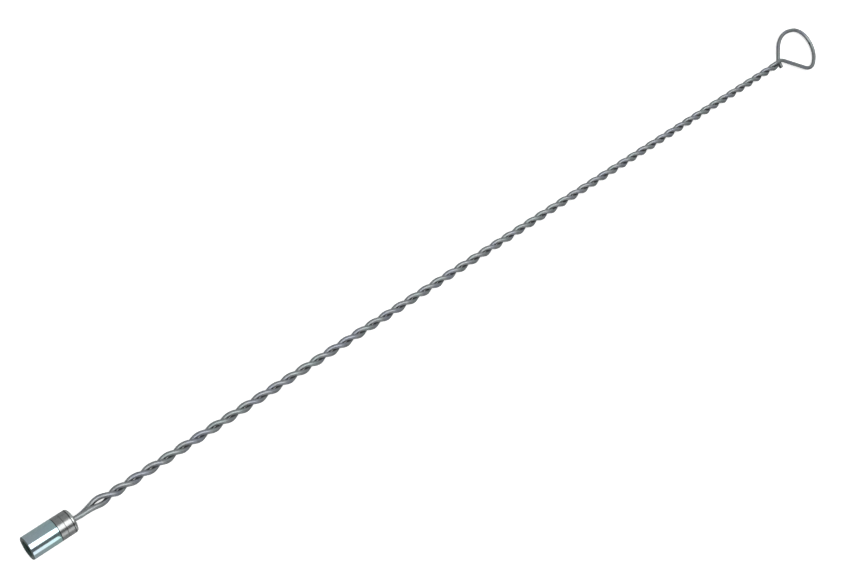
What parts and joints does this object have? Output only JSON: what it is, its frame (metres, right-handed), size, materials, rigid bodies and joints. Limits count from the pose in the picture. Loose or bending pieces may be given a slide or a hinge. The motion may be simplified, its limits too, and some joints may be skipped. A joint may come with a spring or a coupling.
{
  "type": "twisted-wire cleaning rod",
  "caption": "Rigid cleaning rod of twisted steel wire with a flat finger loop at one end and a screw-on female-threaded socket at the other.",
  "frame": {"origin": "centre of the threaded sleeve's open mouth, on the rod's axis", "axes": "+X along the rod from the socket's mouth to the finger loop, +Y across the flat finger loop, +Z square to the loop's plane"},
  "size_m": [0.9975, 0.0515, 0.0188],
  "materials": {
    "bright_zinc": "bright blue-passivated zinc plating, mirror-smooth with faint turning lines",
    "grey_zinc": "turned and pressed steel with thin dull zinc plating",
    "pin_steel": "plain bright-drawn steel",
    "galvanised_wire": "satin galvanised wire with drawing lines"
  },
  "bodies": {
    "root": {"threaded_sleeve": "bright_zinc", "clamp_ring": "grey_zinc", "wire_bush": "grey_zinc", "cross_pin": "pin_steel", "twisted_wire": "galvanised_wire"}
  },
  "joints": []
}
